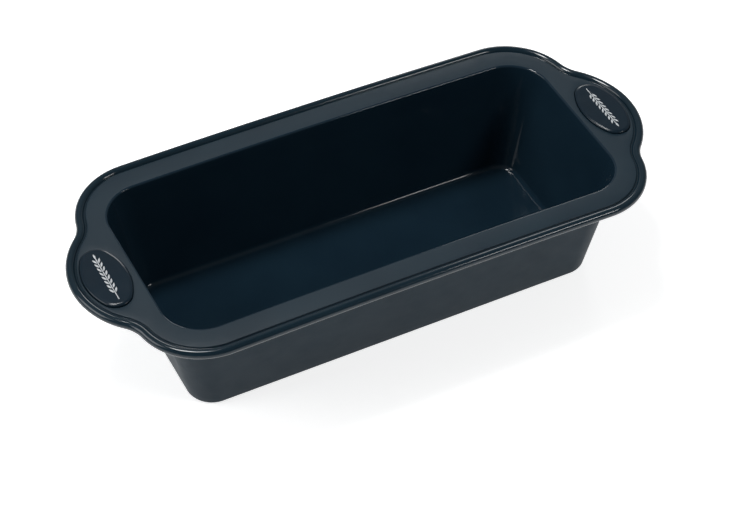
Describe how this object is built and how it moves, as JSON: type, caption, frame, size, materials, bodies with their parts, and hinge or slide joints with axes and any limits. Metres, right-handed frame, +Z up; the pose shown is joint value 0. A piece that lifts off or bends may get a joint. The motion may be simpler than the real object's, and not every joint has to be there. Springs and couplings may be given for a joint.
{
  "type": "loaf pan",
  "caption": "Silicone loaf pan: a deep oblong tub with leaning walls, a wide flat rim with a wire-cored edge bead, and rounded end handles that carry oval badges.",
  "frame": {"origin": "middle of the flat base, on the surface that the pan stands on", "axes": "+X along the pan towards the right handle, +Y across it towards the back, +Z up out of the opening"},
  "size_m": [0.3166, 0.14, 0.0663],
  "materials": {
    "silicone": "satin",
    "steel_wire": "drawn wire",
    "badge_silicone": "semi-gloss",
    "white_inlay": "matt"
  },
  "bodies": {
    "root": {"pan_body": "silicone", "rim_frame": "steel_wire", "left_badge": "badge_silicone", "right_badge": "badge_silicone", "left_badge_mark": "white_inlay", "right_badge_mark": "white_inlay"}
  },
  "joints": []
}
